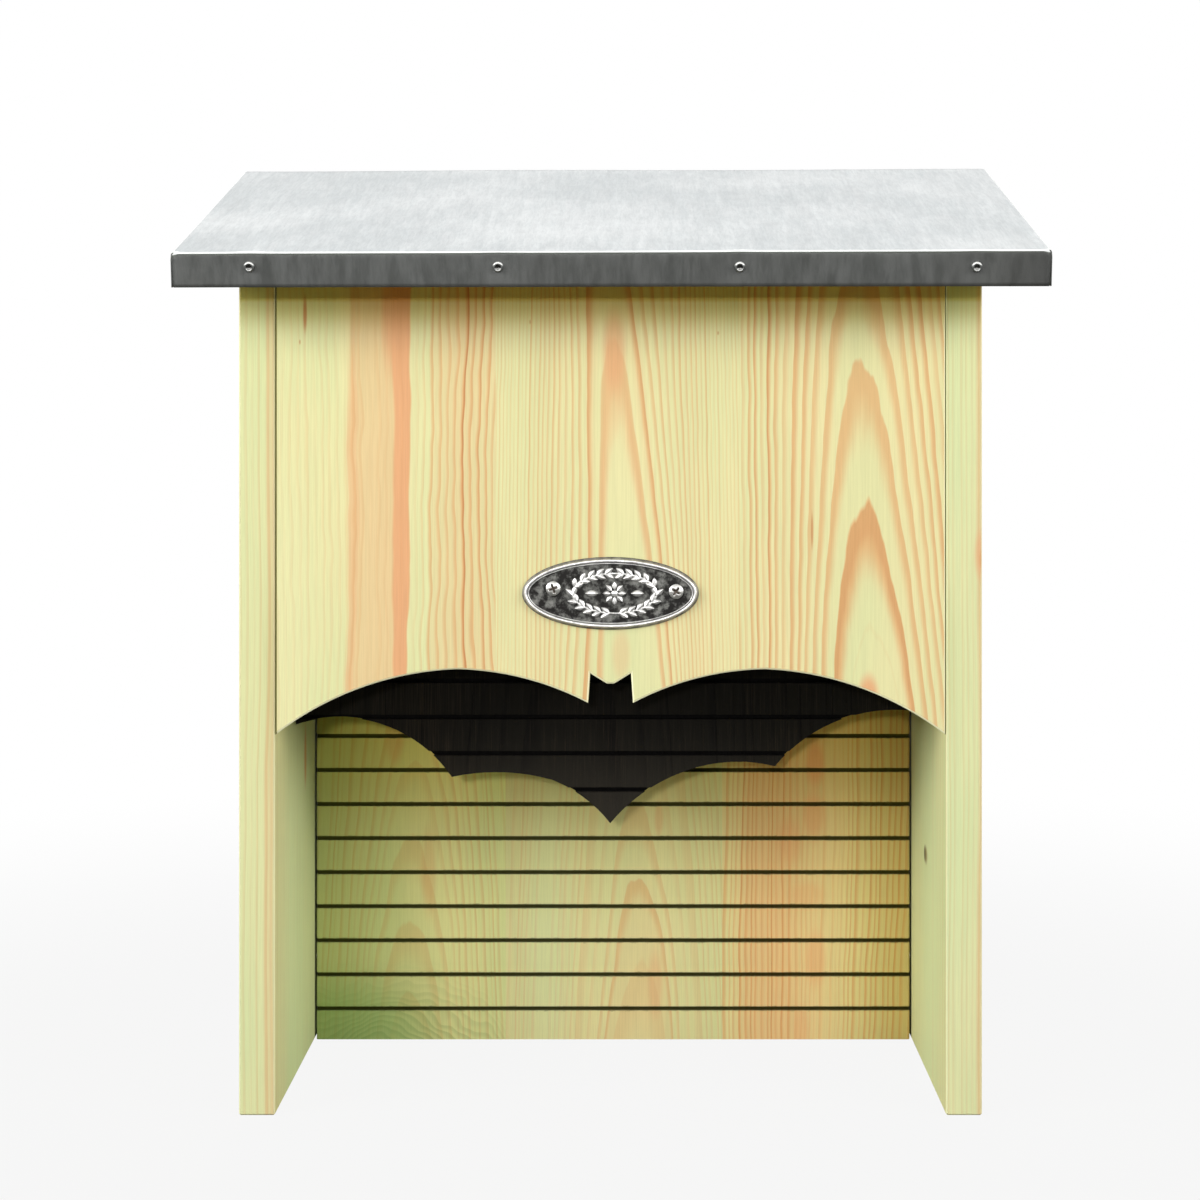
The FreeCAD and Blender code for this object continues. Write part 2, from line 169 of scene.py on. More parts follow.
def growth_rings():
    """Growth rings of a log that a board is sawn from.

    The distance to the pith is the root of the squares of two ways: across the board from the pith, which
    drifts sideways along it, and through the board plus a lean that grows along it, so that flat-sawn faces
    show pointed arches. The drift fades out away from the pith. Each ring darkens slowly over its latewood
    and ends at once, and the rings differ in strength.
    """
    group, given, out = new_group(
        "growth_rings",
        {
            "Place": None, "Pith Across": 0.0, "Pith Through": 60.0, "Lean": 0.05, "Drift": 0.0, "Ring": 3.5,
            "Start": 0.0, "Narrowing": 0.0, "Uneven": 2.2, "Waver": 1.5, "Ripple": 0.3, "Seed": 0.0,
            "Drift Reach": 400.0, "Late Wood": 0.36,
        },
        ("Distance", "Line", "Strength", "Fibre", "Cloud"),
    )
    across, through, along = split(given["Place"])

    def stretched(side, length, detail, rough=0.5):
        """A noise whose patches are side mm wide and length mm long."""
        shifted = plus(over(across, side), times(given["Seed"], 17.3))
        return noise(vector_from(shifted, over(through, side), over(along, length)), 1.0, detail, rough)

    def centred(value, reach):
        return times(minus(value, 0.5), reach)

    sway = split(stretched(42, 170, 2.5)["Color"])
    small = centred(stretched(14, 24, 1.0)[0], given["Ripple"])
    torn = centred(stretched(5, 30, 2.0)[0], times(given["Ripple"], 0.6))
    from_pith = minus(across, given["Pith Across"])
    moved = times_plus(along, given["Drift"], from_pith)
    reach = given["Drift Reach"]
    near = smooth_step(calc("ABSOLUTE", moved), reach, times(reach, 0.3))
    # away from the pith the drift stays what it is at this height
    calm_height = 300.0
    climb = times_plus(minus(along, calm_height), near, calm_height)
    from_a = times_plus(climb, given["Drift"], from_pith)
    from_a = plus(from_a, plus(centred(sway[0], given["Waver"]), small))
    from_t = times_plus(along, given["Lean"], plus(through, given["Pith Through"]))
    from_t = plus(from_t, plus(centred(sway[1], given["Waver"]), torn))
    off_pith = distance(from_a, from_t)
    uneven = noise_along(times_plus(off_pith, 0.11, given["Seed"]), 1.0)
    beyond = minus(off_pith, given["Start"])
    turns = over(beyond, given["Ring"])
    turns = times(turns, times_plus(beyond, given["Narrowing"], 1.0))
    phase = plus(centred(uneven, given["Uneven"]), turns)
    within = calc("FRACT", phase)
    pale = times_plus(given["Late Wood"], -1.6, 1.0)
    dark = times_plus(given["Late Wood"], -0.4, 1.0)
    line = times(smooth_step(within, pale, dark), smooth_step(within, 1.0, 0.94))
    year = times_plus(calc("FLOOR", phase), 0.73, given["Seed"])
    strength = smooth_step(noise_along(year, 0.0), 0.2, 0.8)
    fibre = stretched(0.55, 28, 3.0, 0.6)[0]
    cloud = stretched(45, 160, 3.0)[0]
    for socket, value in zip(out, (off_pith, line, strength, fibre, cloud)):
        wire(socket, value)
    return group


def eased_edge_mask():
    """1 on the narrow sanded chamfers, which face the front or the back at a slant, and 0 elsewhere."""
    group, _, out = new_group("eased_edge", {}, ["Mask"])
    slant = calc("ABSOLUTE", facing(group, "True Normal")[1])
    steep = calc("GREATER_THAN", slant, 0.45)
    shallow = calc("LESS_THAN", slant, 0.93)
    wire(out["Mask"], times(steep, shallow))
    return group


def spot_mark():
    """1 inside an upright oval mark at a place across and along the board, fading at its edge."""
    group, given, out = new_group(
        "spot_mark",
        {"Place": None, "Across": 0.0, "Along": 0.0, "Half Width": 1.0, "Half Length": 5.0}, ["Mask"],
    )
    across, _, along = split(given["Place"])
    across = over(minus(across, given["Across"]), given["Half Width"])
    along = over(minus(along, given["Along"]), given["Half Length"])
    wire(out["Mask"], smooth_step(distance(across, along), 1.0, 0.35))
    return group


RINGS = growth_rings()
EASED = eased_edge_mask()
SPOT = spot_mark()


def place_group(tree, group, **values):
    """Places a node group and sets or feeds its inputs, whose names have underscores for spaces."""
    node = tree.nodes.new("ShaderNodeGroup")
    node.node_tree = group
    for name, value in values.items():
        wire(node.inputs[name.replace("_", " ").title()], value)
    return node.outputs


def ramp(value, stops):
    """A smooth curve through (position, height) stops, read from a colour ramp."""
    first, last = stops[0][0], stops[-1][0]
    node = value.id_data.nodes.new("ShaderNodeValToRGB")
    wire(node.inputs[0], smooth_step(value, first, last, kind="LINEAR"))
    node.color_ramp.interpolation = "EASE"
    while len(node.color_ramp.elements) < len(stops):
        node.color_ramp.elements.new(0.5)
    for element, (position, height) in zip(node.color_ramp.elements, stops):
        element.position = (position - first) / (last - first)
        element.color = (height, height, height, 1)
    return node.outputs[0]


def principled(name):
    material = bpy.data.materials.new(name)
    material.use_nodes = True
    tree = material.node_tree
    return material, tree, tree.nodes["Principled BSDF"]


def finish(shader, colour, rough, relief, relief_mm, metallic=0.0, specular=0.5):
    """Gives a shader its colour, its roughness and a fine relief of so many mm, and sets how it shines."""
    wire(shader.inputs["Base Color"], colour)
    wire(shader.inputs["Roughness"], rough)
    wire(shader.inputs["Metallic"], metallic)
    wire(shader.inputs["Specular IOR Level"], specular)
    wire(shader.inputs["Normal"], feed("Bump", {"Distance": relief_mm * MM, "Height": relief})[0])


def with_marks(wood, place, marks, fade):
    """The wood with oval marks, each (across, along, half width, half length, amount, colour)."""
    for across, along, half_width, half_length, amount, colour in marks:
        form = dict(across=across, along=along, half_width=half_width, half_length=half_length)
        mark = place_group(place.id_data, SPOT, place=place, **form)[0]
        wood = mix_colours(times(times(mark, fade), amount), wood, colour)
    return wood


def pine(name, axes, pith, lines, tints, marks=(), marks_face=None, edge_marks=(), edge_light=0.3,
         tone=(1, 1, 1), sheltered=(), shade_across=(), shelter_reach=(-43.0, -20.0), kerf_face=None, seam=None,
         knot=None, **figure):
    """Treated pine for one board.

    axes are the board's across, through and along directions. pith is the pith's place across and
    through the board, and figure has the other inputs of the growth rings. lines and tints are (distance
    from the pith, amount) stops: how strong the rings are there, and how salmon the wood between them is.
    marks fade in through the board between the two places of marks_face, and edge_marks are placed
    through the board, on its front edge. edge_light is how far the sanded edges are paler: partly their
    fresh wood, partly a painted highlight. sheltered has (low, high, tone): between these heights the wood
    takes the deeper tone, mostly painted shade under the roof and below the front board, which fades out
    over shelter_reach towards the box's back, and gloom has the same across the board, painted shade
    towards the side boards. kerf_face is where the grooved face lies through the board, and its kerfs take
    painted shade and dust; seam is (across, half width) of the joint with its neighbour, painted dark for
    its dirt and its shade, and knot is (across, along, reach).
    """
    material, tree, shader = principled(name)
    box_place = split(place_in_mm(tree))
    place = [box_place["XYZ".index(axis)] for axis in axes]
    across, through, along = place
    spot = vector_from(*place)
    rings = place_group(tree, RINGS, place=spot, pith_across=pith[0], pith_through=pith[1], **figure)
    wood = mix_colours(smooth_step(rings["Cloud"], 0.35, 0.65), PALE_WOOD, GREEN_WOOD)
    wood = mix_colours(ramp(rings["Distance"], tints), wood, SALMON_WOOD)
    year = times_plus(rings["Strength"], 0.6, 0.4)
    latewood = times(rings["Line"], times(year, ramp(rings["Distance"], lines)))
    ring_tone = mix_colours(smooth_step(latewood, 0.65, 1.2), RING_WOOD, DEEP_RING_WOOD)
    wood = mix_colours(times(latewood, 0.92), wood, ring_tone)
    if knot is not None:
        wood = with_knot(wood, place, *knot)
    on_face = 1.0 if marks_face is None else smooth_step(through, *marks_face)
    wood = with_marks(wood, spot, marks, on_face)
    fibre = smooth_step(rings["Fibre"], 0.3, 0.7, 0.95, 1.02)
    shade = vector_from(*(times(fibre, part) for part in tone))
    wood = mix_colours(1.0, wood, shade, "MULTIPLY")
    # the sanded edges are paler, partly for their fresh wood and partly as a painted highlight
    wood = mix_colours(times(place_group(tree, EASED)[0], edge_light), wood, SANDED_AND_HIGHLIGHT_WOOD)
    in_front = smooth_step(box_place[1], shelter_reach[1], shelter_reach[0])
    wood = with_marks(wood, vector_from(through, across, along), edge_marks, in_front)
    # painted shade: most bands deepen the wood where shade falls, under the roof and below the front board,
    # and the bands across darken it towards the side boards; all fade out towards the box's back
    bands = [(along, *band) for band in sheltered] + [(across, *band) for band in shade_across]
    for way, start, full, deeper in bands:
        amount = times(smooth_step(way, start, full), in_front)
        wood = mix_colours(amount, wood, deeper, "MULTIPLY")
    # the joint is painted dark, for its dirt and its shade
    if seam is not None:
        off_seam = calc("ABSOLUTE", minus(across, seam[0]))
        wood = mix_colours(smooth_step(off_seam, seam[1] + 0.2, seam[1] - 0.2), wood, SEAM_SHADE)
    rough = smooth_step(rings["Fibre"], 0.3, 0.7, 0.62, 0.5)
    # painted shade, with some dust, in the saw kerfs and on their torn edges
    if kerf_face is not None:
        kerfs = saw_kerfs(place, kerf_face, BACK_KERF_FIRST)
        wood = mix_colours(times(kerfs, 0.95), wood, KERF_SHADE)
        rough = calc("MAXIMUM", rough, kerfs)
    relief = plus(times(latewood, 0.6), rings["Fibre"])
    finish(shader, wood, rough, relief, 0.12, specular=0.14)
    return material


def dress(node, material):
    """Gives a node of the frame its finish."""
    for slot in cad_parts[node].material_slots:
        slot.material = material


# on the side boards' front faces the first band, which starts below the boards, darkens them evenly; the
# other two are painted shade under the roof, a soft band and a hard strip right under the flange
SIDE = dict(
    waver=5, ripple=0.6, shelter_reach=(-47.6, -46.8),
    sheltered=[(-20, -10, (0.85, 0.85, 0.87, 1)), (346, 362, (0.74, 0.7, 0.52, 1)),
               (360.5, 362.5, (0.9, 0.84, 0.52, 1))],
)
# painted shade: the narrow gap beside the back board is painted near black
GAP_MARK = (80.5, 170, 9, 900, 0.85, GAP_SHADE)
# painted shade: the olive mark high on each side board's inner face paints the shade below the front board
dress("side_panel_left", pine(
    "side_left_pine", "YXZ", (-70, 195), lean=0.0, ring=2.7, seed=1.7,
    lines=[(30, 0.25), (44, 0.25), (47, 0.5), (50, 0.5), (51.5, 0.3), (60, 0.3), (110, 0.35), (160, 0.25)],
    tints=[(30, 0.02), (47.2, 0.04), (48, 0.5), (49, 0.3), (50.2, 0.55), (51, 0.1), (90, 0.05), (160, 0.1)],
    marks=[(28, 70, 80, 190, 0.4, MOSS_WOOD), (10, 200, 90, 85, 0.4, OLIVE_PAINTED_SHADE),
           (42, 146, 5, 19, 0.85, RING_WOOD), GAP_MARK],
    marks_face=(-158, -150), tone=(0.95, 1.02, 0.98), **SIDE,
))
dress("side_panel_right", pine(
    "side_right_pine", "YXZ", (-62, -205), lean=0.0, ring=2.6, seed=5.2,
    lines=[(38, 0.25), (43, 0.25), (44, 0.6), (45, 0.6), (46.5, 0.25), (60, 0.3), (110, 0.3), (160, 0.25)],
    tints=[(38, 0.02), (42.0, 0.05), (42.6, 0.42), (44.6, 0.36), (45.4, 0.06), (60, 0.04), (160, 0.08)],
    marks=[(28, 70, 80, 190, 0.35, MOSS_WOOD), (10, 200, 90, 75, 0.25, OLIVE_PAINTED_SHADE),
           (20, 102.5, 7.5, 5.6, 0.8, (0.30, 0.21, 0.08, 1)),
           (23, 102.5, 3.6, 5, 0.9, (0.06, 0.04, 0.012, 1)), GAP_MARK],
    marks_face=(158, 150),
    edge_marks=[(164.8, 249, 4.2, 15, 0.75, SALMON_WOOD), (164.9, 247, 1.6, 6, 0.6, RING_WOOD)],
    tone=(0.98, 1.05, 1.03), **SIDE,
))


# Back board
# Three staves of the same pine, glued edge to edge. Level saw kerfs across its front face let the bats
# climb. It hangs 1 mm clear of the sides and is screwed through them.

KERF_SHADE = (0.03, 0.032, 0.001, 1)
KERF_PITCH = 17.0
KERF_HALF = 1.0
KERF_DEPTH = 3.0
BACK_KERF_FIRST = 15.4


def saw_kerfs(place, face, first):
    """How deep a point lies in a board's saw kerfs, up to 1, a half on torn edges: painted shade and dust.
    """
    across, through, along = place
    torn_width, beside = 0.75, 0.6
    step = over(minus(along, first - KERF_PITCH / 2), KERF_PITCH)
    off = times(calc("ABSOLUTE", minus(calc("FRACT", step), 0.5)), KERF_PITCH)
    torn = noise(vector_from(times(across, 0.3), through, along), 1.0, 4.0, 0.75)[0]
    half = smooth_step(torn, 0.4, 0.85, KERF_HALF, KERF_HALF + torn_width)
    torn_edge = smooth_step(minus(off, half), 0.25, -0.25, 0.0, 0.5)
    inside = calc("LESS_THAN", off, KERF_HALF + beside)
    front = calc("LESS_THAN", through, face + KERF_DEPTH + beside)
    deep = times(smooth_step(through, face + 0.1, face + 1.8), inside)
    return times(calc("MAXIMUM", torn_edge, deep), front)


def with_knot(wood, place, at_across, at_along, reach):
    """The wood with a green knot that the grain swirls about, fading out at its reach."""
    flatness, bend, swirl_apart = 1.3, 40.0, 4.1
    off_along = times(minus(place[2], at_along), flatness)
    bent = noise(vector_from(*place), 0.03, 2.5)[0]
    about = times_plus(bent, bend, distance(minus(place[0], at_across), off_along))
    swirl = smooth_step(calc("FRACT", over(about, swirl_apart)), 0.2, 0.85)
    near = smooth_step(about, reach, reach * 0.35)
    wood = mix_colours(times(near, 0.3), wood, (0.34, 0.46, 0.19, 1))
    return mix_colours(times(times(near, swirl), 0.5), wood, (0.17, 0.25, 0.08, 1))


BACK_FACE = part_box("back_stave_left")[0].y / MM
# painted shade below the front board and the partition: the back staves deepen towards the top of the back
# board
BACK_SHADE = [(45, 100, (0.88, 0.87, 0.8, 1)), (90, 165, (0.86, 0.76, 0.42, 1))]
BACK = dict(
    kerf_face=BACK_FACE, shelter_reach=(BACK_FACE + 4.5, BACK_FACE + 7.0),
    marks_face=(BACK_FACE + 9.0, BACK_FACE + 5.0),
)
# painted shade on this stave: deeper towards the top, below the front board and the partition, and towards
# the left side board
dress("back_stave_left", pine(
    "back_left_pine", "XYZ", (-101, -52), lean=0.08, ring=2.6, seed=2.2, waver=7, ripple=1.0,
    lines=[(18, 0.5), (28, 0.4), (40, 0.45), (60, 0.4)],
    tints=[(18, 0.3), (30, 0.1), (60, 0.05)], tone=(1.08, 1.12, 0.95), knot=(-116, -22, 104),
    marks=[(-92, 84, 5, 30, 0.4, SALMON_WOOD), (-109, 148, 6, 14, 0.45, SALMON_WOOD),
           (-138, 0, 64, 42, 0.62, (0.40, 0.55, 0.23, 1))],
    sheltered=[(45, 100, (0.92, 0.9, 0.84, 1)), (90, 165, (1.1, 0.98, 0.52, 1))],
    shade_across=[(-72, -150, (0.45, 0.5, 0.36, 1))], **BACK,
))
dress("back_stave_middle", pine(
    "back_middle_pine", "XYZ", (13, -46), lean=0.07, ring=2.9, seed=7.9, waver=7, ripple=0.8,
    lines=[(20, 0.6), (30, 0.5), (38, 0.35), (60, 0.3)],
    tints=[(20, 0.15), (31, 0.2), (33, 0.05), (60, 0.04)], tone=(1.16, 1.1, 1.02),
    marks=[(-25, 60, 3, 70, 0.15, SALMON_WOOD), (21, 28, 5, 22, 0.4, SALMON_WOOD),
           (22.9, 110, 3, 12, 0.4, SALMON_WOOD), (-32, 60, 16, 120, 0.3, MOSS_WOOD)],
    sheltered=BACK_SHADE, **BACK,
))
# painted shade on this stave: deeper towards the top, and towards the right side board
dress("back_stave_right", pine(
    "back_right_pine", "XYZ", (190, -52), lean=0.05, ring=2.7, seed=4.4, waver=8, ripple=1.4, uneven=1.5,
    lines=[(40, 0.9), (74, 0.9), (80, 0.35), (97, 0.4), (104, 1.0), (128, 0.85), (140, 0.9)],
    tints=[(40, 0.45), (74, 0.2), (84, 0.3), (96, 0.4), (108, 0.55), (124, 0.5), (134, 0.12), (140, 0.12)],
    marks=[(100.8, 138, 6.5, 17, 0.85, SALMON_WOOD), (100, 112, 7.5, 17, 0.6, SALMON_WOOD),
           (88, 99, 9, 16, 0.45, SALMON_WOOD), (97, 72, 12, 9, 0.35, SALMON_WOOD),
           (101, 40, 7, 19, 0.5, SALMON_WOOD), (94, 5, 5, 16, 0.4, SALMON_WOOD)],
    tone=(1.2, 1.1, 0.98), sheltered=BACK_SHADE, shade_across=[(98, 150, (0.63, 0.66, 0.46, 1))], **BACK,
))


# Partition
# The board between the two chambers, stained nearly black so that it takes up the sun's warmth. Its
# lower edge is sawn by hand to a bat's belly and wings, and its front is kerfed as the back board is.

material, tree, shader = principled("black_stained_pine")
spot = place_in_mm(tree)
place = split(spot)
rings = place_group(
    tree, RINGS, place=spot, pith_across=-20, pith_through=50, lean=0.04, ring=3.6, waver=5, seed=9.4
)
latewood = times(rings["Line"], rings["Strength"])
stain = mix_colours(latewood, (0.0085, 0.0075, 0.0055, 1), (0.004, 0.0035, 0.003, 1))
worn = smooth_step(plus(rings["Fibre"], times(rings["Cloud"], 0.5)), 0.75, 1.05)
stain = mix_colours(times(worn, 0.6), stain, (0.030, 0.021, 0.012, 1))
# painted light: the stain is paler towards the lower edge, where more light falls
painted_light_low = times(smooth_step(place[2], 165.0, 115.0), 0.75)
stain = mix_colours(painted_light_low, stain, (0.030, 0.026, 0.020, 1))
partition_kerf_first = 135.7
kerfs = saw_kerfs(place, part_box("inner_partition")[0].y / MM, partition_kerf_first)
# painted shade in the saw kerfs
stain = mix_colours(kerfs, stain, (0.0012, 0.001, 0.0008, 1))
rough = smooth_step(rings["Fibre"], 0.3, 0.7, 0.75, 0.55)
finish(shader, stain, rough, plus(latewood, rings["Fibre"]), 0.15, specular=0.06)
dress("inner_partition", material)


# Front board
# Three staves glued edge to edge, each with its own figure: straight stripes, a pale arch, and tall
# arches with strong rings. The lower edge is sawn as a flying bat seen from behind, and sanded.

SEAM_SHADE = (0.15, 0.14, 0.035, 1)
# painted shade under the roof on the front board: a soft band and a hard strip right under the flange
FRONT = dict(
    tone=(0.9, 0.885, 0.87), edge_light=0.9,
    sheltered=[(344, 362, (0.72, 0.66, 0.42, 1)), (360.5, 362.5, (0.9, 0.8, 0.5, 1))],
)
dress("front_stave_left", pine(
    "front_left_pine", "XYZ", (-330, 47.5), lean=0.0, ring=3.55, seed=3.3, waver=11, ripple=3.4, uneven=0.4,
    lines=[(181, 0.22), (212, 0.22), (215, 0.7), (218, 0.4), (221, 0.15), (229, 0.2), (240, 0.2), (243, 0.2),
           (249, 0.3), (251.5, 1.0), (262, 1.0), (279, 1.0)],
    tints=[(181, 0.02), (212.6, 0.03), (214, 0.62), (216.8, 0.66), (218.6, 0.44), (232.6, 0.5), (234, 1.0),
           (240.5, 1.0), (241.5, 0.05), (250, 0.02), (253, 0.25), (265, 0.35), (279, 0.25)],
    marks=[(-135.6, 356, 1.2, 11, 0.8, DEEP_RING_WOOD), (-137.9, 343.4, 0.5, 1.5, 0.6, DEEP_RING_WOOD),
           (-97.2, 360, 6.2, 40, 0.85, SALMON_WOOD), (-118.2, 362, 4.6, 74, 0.85, PALE_WOOD),
           (-144, 215, 22, 95, 0.15, MOSS_WOOD)],
    seam=(-149, 0.9), **FRONT,
))
dress("front_stave_middle", pine(
    "front_middle_pine", "XYZ", (23.1, 61.85), lean=0.03, ring=2.4, seed=6.1,
    drift=0.065, start=25, narrowing=0.012, uneven=0.6, waver=3, ripple=0.9, drift_reach=34,
    lines=[(18, 0.0), (23.2, 0.0), (24.0, 1.1), (28, 0.95), (31, 0.6), (37, 0.7), (44, 0.7), (50, 0.4),
           (70, 0.45)],
    tints=[(18, 0.02), (23.4, 0.02), (24.4, 0.45), (25.2, 0.05), (26.4, 0.25), (28.5, 0.05), (39, 0.13),
           (50, 0.04), (70, 0.04)],
    marks=[(-35.7, 352.3, 0.5, 1.4, 0.5, DEEP_RING_WOOD), (47.8, 347.4, 0.6, 1.2, 0.5, DEEP_RING_WOOD),
           (1.6, 340, 7, 26, 0.7, SALMON_WOOD), (4.7, 205, 5.5, 16, 0.35, SALMON_WOOD)],
    **FRONT,
))
dress("front_stave_right", pine(
    "front_right_pine", "XYZ", (124.6, 66.8), lean=0.053, ring=3.05, seed=8.6,
    drift=0.04, start=33.95, narrowing=0.006, uneven=0.4, waver=3, ripple=1.5, late_wood=0.46,
    lines=[(24, 0.0), (30.5, 0.0), (31.5, 1.1), (34, 1.1), (38, 0.95), (41, 0.9), (50, 0.95), (62, 0.85),
           (72, 0.6)],
    tints=[(24, 0.03), (31, 0.04), (32.8, 0.2), (34, 0.08), (37, 0.08), (50, 0.1), (60, 0.06), (72, 0.02)],
    marks=[(89.5, 259.5, 0.8, 11, 0.7, DEEP_RING_WOOD), (114.5, 186, 6, 13, 0.95, SALMON_WOOD)],
    seam=(149, 0.5), **FRONT,
))


# Oval plate
# A cast plate on the front board: a dark hollow field with a bright raised rim, and in the field a
# leafy wreath about a rosette. Rubbing has brightened what stands proud.

PLATE_LOW, PLATE_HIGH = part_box("nameplate")
PLATE_WIDE = (PLATE_HIGH.x - PLATE_LOW.x) / 2
PLATE_TALL = (PLATE_HIGH.z - PLATE_LOW.z) / 2
PLATE_MIDDLE = (PLATE_LOW + PLATE_HIGH) / 2
PLATE_BACK = PLATE_HIGH.y
PLATE_STAND = 2.3 * MM
FIELD_DEPTH = 0.95 * MM
RIM_EDGE = 0.8
BROAD_BEAD = (1.6, 0.8)
FINE_BEAD = (2.8, 0.3)
RIM_WIDTH = 3.2


def bell(off, reach):
    """A round hump: 1 at the middle and 0 from the reach outwards."""
    return np.clip(1 - (off / reach) ** 2, 0, None)


def bead(inside, middle, half):
    """A half-round ridge along the rim, whose middle lies so many mm inside the edge."""
    return np.sqrt(np.clip(1 - ((inside - middle) / half) ** 2, 0, 1))


def leaf(x, z, at_x, at_z, turn, length, width):
    """A hump in the form of a pointed leaf that starts at a place and runs the way turn says."""
    along = ((x - at_x) * math.cos(turn) + (z - at_z) * math.sin(turn)) / length
    beside = np.abs(-(x - at_x) * math.sin(turn) + (z - at_z) * math.cos(turn))
    half = width * np.sin(np.clip(along, 0, 1) * math.pi) ** 0.8 + 1e-6
    return np.clip(1 - (beside / half) ** 2, 0, None) * ((along > 0) & (along < 1))


def ornament(x, z):
    """Height of the field's ornament at points in mm from the plate's middle.

    A wreath follows an ellipse: pairs of leaves, evenly spaced along it, turn away from its tangent by
    half a radian on either side of a stem, which is a ridge along the ellipse. Inside it stand a rosette
    of eight petals and two buds. All of it sits a little to the right in the field.
    """
    to_right, wide, tall = 1.8, 18.6, 8.8
    x = x - to_right
    ring = np.hypot(x / wide, z / tall) + 1e-6
    slope = np.hypot(x / wide ** 2, z / tall ** 2) / ring
    height = 0.5 * bell((ring - 1) / (slope + 1e-6), 0.5)
    fine = np.linspace(-1.45, 1.34, 400)
    steps = np.hypot(np.diff(wide * np.cos(fine)), np.diff(tall * np.sin(fine)))
    run = np.concatenate([[0], np.cumsum(steps)])
    for side in (-1, 1):
        for turn in np.interp(np.linspace(0, run[-1], 11), run, fine):
            way = math.atan2(tall * math.cos(turn), -side * wide * math.sin(turn))
            for off in (-0.55, 0.55):
                height = np.maximum(height, 0.8 * leaf(
                    x, z, side * wide * math.cos(turn), tall * math.sin(turn), way + off, 4.3, 1.15))
        height = np.maximum(height, 0.8 * leaf(x, z, side * 7.3, 0, 0 if side > 0 else math.pi, 5.6, 1.5))
    height = np.maximum(height, 0.85 * bell(np.hypot(x, z), 1.5))
    for turn in np.arange(8) * math.pi / 4:
        petal = leaf(x, z, 1.6 * math.cos(turn), 1.6 * math.sin(turn), turn, 3.5, 1.15)
        height = np.maximum(height, 0.8 * petal)
    return height


def plate_surface(rings=150, spokes=400):
    """The plate's face as rings of an ellipse: share runs from 0 in the middle to 1 at the edge.

    inside is how far a point lies inside the edge. The rim has a sloping edge, a broad bead and a fine
    bead, and inside it the field carries the ornament. A last ring carries the edge back to the board,
    and a fan closes the back.
    """
    rim_rings = 56
    inner = np.linspace(0.004, 0.82, rings - rim_rings)
    share = np.concatenate([inner, np.linspace(0.8225, 1.0, rim_rings)])
    angle = np.linspace(0, 2 * math.pi, spokes, endpoint=False)
    share, turn = np.meshgrid(share, angle, indexing="ij")
    x = share * np.cos(turn) * PLATE_WIDE / MM
    z = share * np.sin(turn) * PLATE_TALL / MM
    steep = np.hypot(x / (PLATE_WIDE / MM) ** 2, z / (PLATE_TALL / MM) ** 2) / share
    inside = (1 - share) / steep
    broad = bead(inside, *BROAD_BEAD)
    fine = bead(inside, *FINE_BEAD)
    field = (PLATE_STAND - FIELD_DEPTH) / MM
    relief = np.where(inside > RIM_WIDTH, ornament(x, z), 0)
    height = field + 0.95 * broad + 0.45 * fine + relief
    edge_foot, edge_top = 0.6, field + 0.2
    slant = edge_foot + (edge_top - edge_foot) * inside / RIM_EDGE
    height = np.where(inside < RIM_EDGE, slant, height)
    edge = 0.3 * (inside < RIM_EDGE) * np.clip(inside / 0.3, 0, 1)
    worn = np.clip(np.maximum(np.maximum(broad ** 0.7, 0.75 * fine), relief / 0.35), edge, 1)
    points = np.stack([x * MM + PLATE_MIDDLE.x, PLATE_BACK - height * MM, z * MM + PLATE_MIDDLE.z], -1)
    middle = np.array([[PLATE_MIDDLE.x, depth, PLATE_MIDDLE.z] for depth in (points[0, 0, 1], PLATE_BACK)])
    points = points.reshape(-1, 3)
    back = points[-spokes:].copy()
    back[:, 1] = PLATE_BACK
    count = rings * spokes
    points = np.concatenate([points, back, middle])
    worn = np.concatenate([worn.ravel(), np.zeros(spokes), [worn[0, 0], 0]])
    i, j = np.meshgrid(np.arange(rings), np.arange(spokes), indexing="ij")
    here, next_j = i * spokes + j, i * spokes + (j + 1) % spokes
    quads = np.stack([here, here + spokes, next_j + spokes, next_j], -1).reshape(-1, 4)
    spoke = np.arange(spokes)
    after = (spoke + 1) % spokes
    face_fan = np.stack([np.full(spokes, count + spokes), spoke, after], -1)
    back_fan = np.stack([np.full(spokes, count + spokes + 1), count + after, count + spoke], -1)
    return points, quads.tolist() + face_fan.tolist() + back_fan.tolist(), worn


def mesh_piece(name, points, faces, material, smooth=True, **masks):
    """A new object at the origin with its place in its mesh. masks have a number for each point."""
    mesh = bpy.data.meshes.new(name)
    mesh.from_pydata(np.asarray(points).tolist(), [], faces)
    mesh.materials.append(material)
    mesh.polygons.foreach_set("use_smooth", np.full(len(mesh.polygons), smooth))
    for label, values in masks.items():
        mesh.attributes.new(label, "FLOAT", "POINT").data.foreach_set("value", values.astype(np.float32))
    mesh.update()
    piece = bpy.data.objects.new(name, mesh)
    bpy.context.scene.collection.objects.link(piece)
    return piece


def mask_of(tree, label):
    """What a mesh's points carry under a label."""
    node = tree.nodes.new("ShaderNodeAttribute")
    node.attribute_name = label
    return node.outputs["Fac"]


material, tree, shader = principled("cast_plate_metal")
grime = noise(place_in_mm(tree), 0.3, 5.0, 0.65)[0]
wear_and_highlight = times(mask_of(tree, "worn"), smooth_step(grime, 0.3, 0.55, 0.6, 1.0))
dark = mix_colours(smooth_step(grime, 0.42, 0.72), (0.016, 0.015, 0.014, 1), (0.20, 0.20, 0.185, 1))
bright = mix_colours(wear_and_highlight, dark, (0.79, 0.78, 0.76, 1))
finish(shader, bright, smooth_step(wear_and_highlight, 0.0, 1.0, 0.6, 0.32), grime, 0.06, metallic=0.85)

